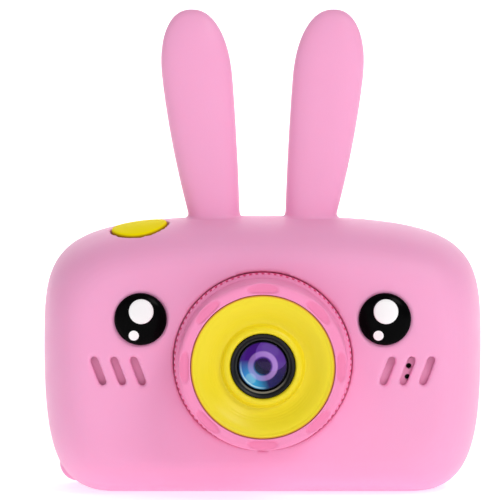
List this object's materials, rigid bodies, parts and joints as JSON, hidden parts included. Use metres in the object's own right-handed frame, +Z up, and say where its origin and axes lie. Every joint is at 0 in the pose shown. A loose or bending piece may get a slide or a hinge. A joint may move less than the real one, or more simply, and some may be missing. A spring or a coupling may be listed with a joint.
{
  "type": "kids digital camera",
  "caption": "Chunky kids' digital camera in a pink rabbit-eared silicone sleeve, with a large round lens ring, yellow dish, rear screen and keys.",
  "frame": {"origin": "centre of the flat base, under the body's mid-depth plane", "axes": "+Z up towards the ears, the lens looks along -Y, +X to the right of someone who faces the lens"},
  "size_m": [0.095, 0.0465, 0.1043],
  "materials": {
    "pink_silicone": "satin moulded silicone",
    "pink_shell": "semi-gloss moulded",
    "ring_pink": "semi-gloss moulded",
    "yellow_plastic": "gloss moulded",
    "gloss_black": "high gloss",
    "matt_black": "matt moulded",
    "clear_glass": "polished, purple coating",
    "filter_glass": "polished, tinted",
    "board_green": "solder mask",
    "chip_black": "moulded epoxy",
    "bright_steel": "bright",
    "battery_foil": "satin foil",
    "amber_flex": "polyimide film",
    "grey_foam": "closed-cell foam",
    "screen_black": "high gloss",
    "lead_red": "satin insulation",
    "lead_black": "satin insulation",
    "white_nylon": "moulded nylon"
  },
  "bodies": {
    "camera_body": {"silicone_sleeve": "pink_silicone", "eye_left": "gloss_black", "eye_right": "gloss_black", "front_shell": "pink_shell", "rear_shell": "pink_shell", "case_screw_lower_left": "bright_steel", "case_screw_upper_left": "bright_steel", "case_screw_lower_right": "bright_steel", "case_screw_upper_right": "bright_steel", "lens_bezel": "yellow_plastic", "lens_retainer": "matt_black", "lens_cover_glass": "clear_glass", "lens_barrel": "matt_black", "lens_front_element": "clear_glass", "lens_rear_element": "clear_glass", "lens_holder": "matt_black", "ir_filter": "filter_glass", "image_sensor": "chip_black", "sensor_board": "board_green", "sensor_flex": "amber_flex", "shutter_switch": "chip_black", "shutter_board": "board_green", "lcd_window": "screen_black", "lcd_gasket": "grey_foam", "lcd_module": "screen_black", "lcd_flex": "amber_flex", "main_board": "board_green", "board_screw_left": "bright_steel", "board_screw_right": "bright_steel", "processor_chip": "chip_black", "memory_chip": "chip_black", "key_switch_ok": "bright_steel", "key_switch_up": "bright_steel", "key_switch_down": "bright_steel", "key_switch_left": "bright_steel", "key_switch_right": "bright_steel", "key_switch_power": "bright_steel", "key_switch_menu": "bright_steel", "usb_port": "bright_steel", "card_socket": "bright_steel", "battery": "battery_foil", "battery_plug": "white_nylon", "battery_lead_black": "lead_black", "battery_lead_red": "lead_red", "speaker": "chip_black", "speaker_gasket": "grey_foam", "microphone": "bright_steel"},
    "lens_ring": {"lens_ring": "ring_pink"},
    "shutter_button": {"shutter_button": "yellow_plastic"},
    "key_ok": {"key_ok": "yellow_plastic"},
    "key_up": {"key_up": "yellow_plastic"},
    "key_down": {"key_down": "yellow_plastic"},
    "key_left": {"key_left": "yellow_plastic"},
    "key_right": {"key_right": "yellow_plastic"},
    "key_power": {"key_power": "yellow_plastic"},
    "key_menu": {"key_menu": "yellow_plastic"},
    "memory_card": {"memory_card": "chip_black"}
  },
  "joints": [
    {"name": "lens_ring_turn", "type": "hinge", "parent": "camera_body", "child": "lens_ring", "pos_m": [0, -0.0225, 0.0296], "axis": [0, -1, 0], "continuous": true},
    {"name": "shutter_press", "type": "slide", "parent": "camera_body", "child": "shutter_button", "axis": [0.1046, 0.1532, -0.9826], "range_m": [0, 0.0008], "stiffness_N_per_m": 400, "springref_m": -0.001},
    {"name": "key_ok_press", "type": "slide", "parent": "camera_body", "child": "key_ok", "axis": [0, -1, 0], "range_m": [0, 0.0005], "stiffness_N_per_m": 500, "springref_m": -0.0008},
    {"name": "key_up_press", "type": "slide", "parent": "camera_body", "child": "key_up", "axis": [0, -1, 0], "range_m": [0, 0.0005], "stiffness_N_per_m": 500, "springref_m": -0.0008},
    {"name": "key_down_press", "type": "slide", "parent": "camera_body", "child": "key_down", "axis": [0, -1, 0], "range_m": [0, 0.0005], "stiffness_N_per_m": 500, "springref_m": -0.0008},
    {"name": "key_left_press", "type": "slide", "parent": "camera_body", "child": "key_left", "axis": [0, -1, 0], "range_m": [0, 0.0005], "stiffness_N_per_m": 500, "springref_m": -0.0008},
    {"name": "key_right_press", "type": "slide", "parent": "camera_body", "child": "key_right", "axis": [0, -1, 0], "range_m": [0, 0.0005], "stiffness_N_per_m": 500, "springref_m": -0.0008},
    {"name": "key_power_press", "type": "slide", "parent": "camera_body", "child": "key_power", "axis": [0, -1, 0], "range_m": [0, 0.0005], "stiffness_N_per_m": 500, "springref_m": -0.0008},
    {"name": "key_menu_press", "type": "slide", "parent": "camera_body", "child": "key_menu", "axis": [0, -1, 0], "range_m": [0, 0.0005], "stiffness_N_per_m": 500, "springref_m": -0.0008},
    {"name": "memory_card_slide", "type": "slide", "parent": "camera_body", "child": "memory_card", "axis": [1, 0, 0], "range_m": [0, 0.011]}
  ]
}
